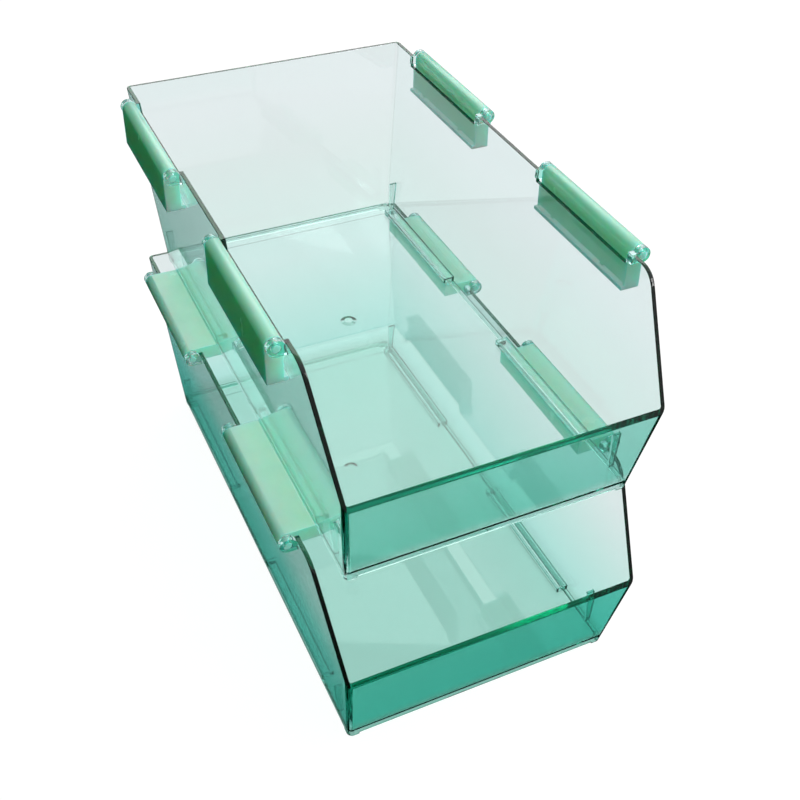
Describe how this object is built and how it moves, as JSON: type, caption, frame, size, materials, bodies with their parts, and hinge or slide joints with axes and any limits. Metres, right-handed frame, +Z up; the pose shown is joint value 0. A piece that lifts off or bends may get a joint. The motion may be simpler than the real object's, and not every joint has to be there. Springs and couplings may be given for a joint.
{
  "type": "stacking fridge bin",
  "caption": "Clear tinted open-front fridge bins stacked on fold-over support flaps hinged along their side rims.",
  "frame": {"origin": "on the supporting surface, under the middle of the stack's box", "axes": "+Z up, +Y towards the back wall, -Y towards the open front, +X to the right seen from the front"},
  "size_m": [0.2196, 0.365, 0.2718],
  "materials": {
    "tinted_clear": "clear, polished, with a light sea-green tint",
    "milky_green": "smooth translucent milky green"
  },
  "bodies": {
    "lower_bin": {"lower_bin": "tinted_clear"},
    "lower_left_front_flap": {"lower_left_front_flap": "milky_green"},
    "lower_left_rear_flap": {"lower_left_rear_flap": "milky_green"},
    "lower_right_front_flap": {"lower_right_front_flap": "milky_green"},
    "lower_right_rear_flap": {"lower_right_rear_flap": "milky_green"},
    "upper_bin": {"upper_bin": "tinted_clear"},
    "upper_left_front_flap": {"upper_left_front_flap": "milky_green"},
    "upper_left_rear_flap": {"upper_left_rear_flap": "milky_green"},
    "upper_right_front_flap": {"upper_right_front_flap": "milky_green"},
    "upper_right_rear_flap": {"upper_right_rear_flap": "milky_green"}
  },
  "joints": [
    {"name": "upper_bin_lift", "type": "slide", "parent": "lower_bin", "child": "upper_bin", "axis": [0, 0, 1], "range_m": [0, 0.24]},
    {"name": "lower_left_front_hinge", "type": "hinge", "parent": "lower_bin", "child": "lower_left_front_flap", "pos_m": [-0.105, -0.0755, 0.132], "axis": [0, -1, 0], "range_deg": [0, 270]},
    {"name": "lower_left_rear_hinge", "type": "hinge", "parent": "lower_bin", "child": "lower_left_rear_flap", "pos_m": [-0.105, 0.1045, 0.132], "axis": [0, -1, 0], "range_deg": [0, 270]},
    {"name": "lower_right_front_hinge", "type": "hinge", "parent": "lower_bin", "child": "lower_right_front_flap", "pos_m": [0.105, -0.0755, 0.132], "axis": [0, 1, 0], "range_deg": [0, 270]},
    {"name": "lower_right_rear_hinge", "type": "hinge", "parent": "lower_bin", "child": "lower_right_rear_flap", "pos_m": [0.105, 0.1045, 0.132], "axis": [0, 1, 0], "range_deg": [0, 270]},
    {"name": "upper_left_front_hinge", "type": "hinge", "parent": "upper_bin", "child": "upper_left_front_flap", "pos_m": [-0.105, -0.0755, 0.267], "axis": [0, 1, 0], "range_deg": [0, 270]},
    {"name": "upper_left_rear_hinge", "type": "hinge", "parent": "upper_bin", "child": "upper_left_rear_flap", "pos_m": [-0.105, 0.1045, 0.267], "axis": [0, 1, 0], "range_deg": [0, 270]},
    {"name": "upper_right_front_hinge", "type": "hinge", "parent": "upper_bin", "child": "upper_right_front_flap", "pos_m": [0.105, -0.0755, 0.267], "axis": [0, -1, 0], "range_deg": [0, 270]},
    {"name": "upper_right_rear_hinge", "type": "hinge", "parent": "upper_bin", "child": "upper_right_rear_flap", "pos_m": [0.105, 0.1045, 0.267], "axis": [0, -1, 0], "range_deg": [0, 270]}
  ],
  "couplings": [
    {"joint": "lower_left_front_hinge", "follows": "upper_bin_lift", "rad_per_m": 19.635},
    {"joint": "lower_left_rear_hinge", "follows": "upper_bin_lift", "rad_per_m": 19.635},
    {"joint": "lower_right_front_hinge", "follows": "upper_bin_lift", "rad_per_m": 19.635},
    {"joint": "lower_right_rear_hinge", "follows": "upper_bin_lift", "rad_per_m": 19.635}
  ]
}
